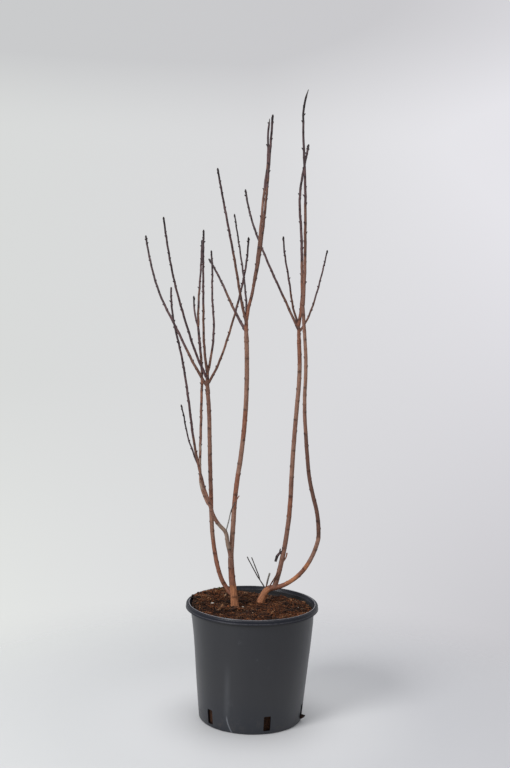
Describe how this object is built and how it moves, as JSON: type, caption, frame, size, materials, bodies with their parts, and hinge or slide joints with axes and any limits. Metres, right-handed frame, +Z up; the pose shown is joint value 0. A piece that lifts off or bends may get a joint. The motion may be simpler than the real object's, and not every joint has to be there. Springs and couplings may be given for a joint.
{
  "type": "potted smoke bush, bare in winter",
  "caption": "Bare multi-stemmed winter shrub with long upright twigs, standing in a round nursery pot filled with coir and bark mix.",
  "frame": {"origin": "centre of the pot's flat underside, on the surface it stands on", "axes": "+Z up along the plant; the pictured side faces -Y; +X to its right"},
  "size_m": [0.375, 0.271, 1.229],
  "materials": {
    "pot_plastic": "moulded charcoal plastic with a soft sheen",
    "coir_mix": "coarse brown coir and bark chips",
    "bark": "smooth red-brown bark with pale streaks and ring scars",
    "twig_bark": "red-brown young bark, dark grey at the tips"
  },
  "bodies": {
    "root": {"pot": "pot_plastic", "filling": "coir_mix", "left_trunk": "bark", "right_trunk": "bark", "centre_stem": "bark", "side_branch": "bark", "left_stem": "bark", "right_stem": "bark", "outer_stem_lower": "bark", "outer_stem_upper": "bark", "left_crown": "twig_bark", "side_crown": "twig_bark", "centre_crown": "twig_bark", "right_crown": "twig_bark", "outer_crown": "twig_bark"}
  },
  "joints": []
}
